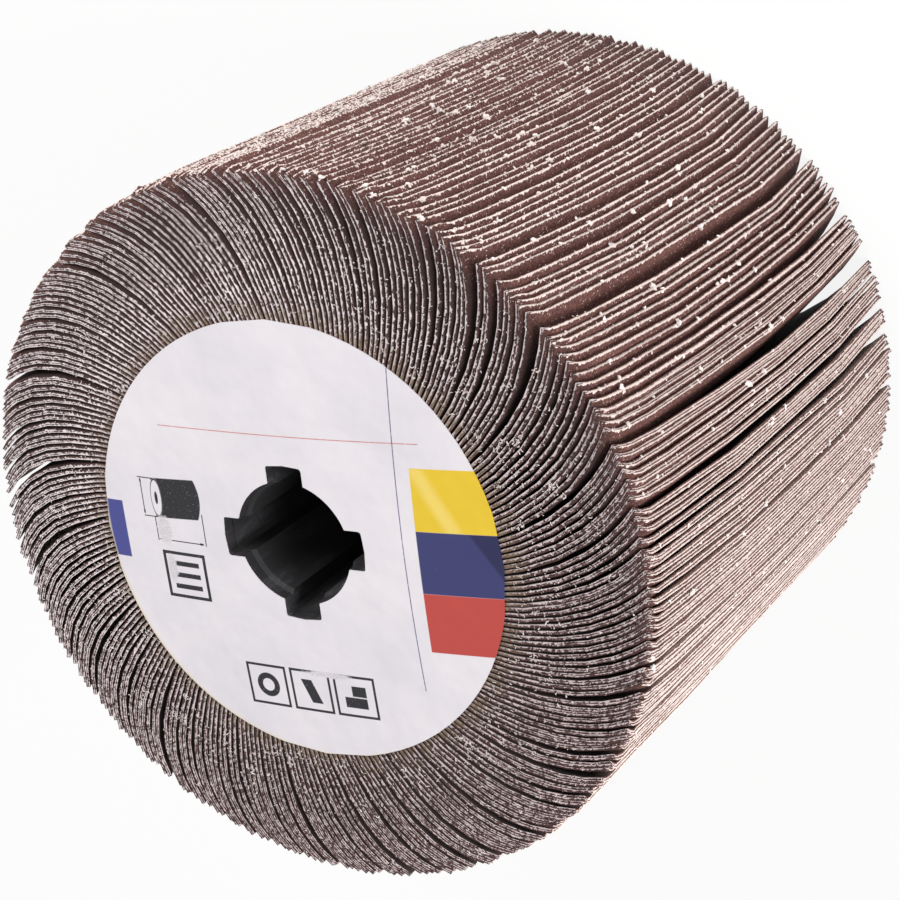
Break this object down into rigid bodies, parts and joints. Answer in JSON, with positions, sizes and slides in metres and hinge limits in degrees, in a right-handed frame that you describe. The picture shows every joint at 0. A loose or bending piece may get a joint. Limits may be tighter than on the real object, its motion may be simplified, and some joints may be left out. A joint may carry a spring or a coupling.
{
  "type": "flap wheel",
  "caption": "Drum-shaped flap wheel of swept abrasive cloth flaps round a plastic core with a keyed spindle bore, with a printed paper label on one end.",
  "frame": {"origin": "in the middle of the resin ring, in the plane of the rear end that the wheel stands on; the core and its bore stand 1 mm off that middle", "axes": "+Z along the spindle bore, out of the labelled end; +X and +Y run within 5 degrees of two of the four keyways, with the label's print the right way up for +Y up"},
  "size_m": [0.1207, 0.1182, 0.1002],
  "materials": {
    "core_plastic": "satin moulded plastic",
    "resin": "cast resin, tan brown",
    "disc_plastic": "satin moulded plastic",
    "label_paper": "thin printed paper, slightly worn",
    "abrasive_cloth": "grain coated on one face of woven cloth, frayed cream edges"
  },
  "bodies": {
    "root": {"hub_core": "core_plastic", "resin_ring": "resin", "front_disc": "disc_plastic", "rear_disc": "disc_plastic", "front_label": "label_paper", "flap_bundle_01": "abrasive_cloth", "flap_bundle_02": "abrasive_cloth", "flap_bundle_03": "abrasive_cloth", "flap_bundle_04": "abrasive_cloth", "flap_bundle_05": "abrasive_cloth", "flap_bundle_06": "abrasive_cloth", "flap_bundle_07": "abrasive_cloth", "flap_bundle_08": "abrasive_cloth", "flap_bundle_09": "abrasive_cloth", "flap_bundle_10": "abrasive_cloth", "flap_bundle_11": "abrasive_cloth", "flap_bundle_12": "abrasive_cloth", "flap_bundle_13": "abrasive_cloth", "flap_bundle_14": "abrasive_cloth", "flap_bundle_15": "abrasive_cloth", "flap_bundle_16": "abrasive_cloth", "flap_bundle_17": "abrasive_cloth", "flap_bundle_18": "abrasive_cloth", "flap_bundle_19": "abrasive_cloth", "flap_bundle_20": "abrasive_cloth", "flap_bundle_21": "abrasive_cloth", "flap_bundle_22": "abrasive_cloth", "flap_bundle_23": "abrasive_cloth", "flap_bundle_24": "abrasive_cloth"}
  },
  "joints": []
}
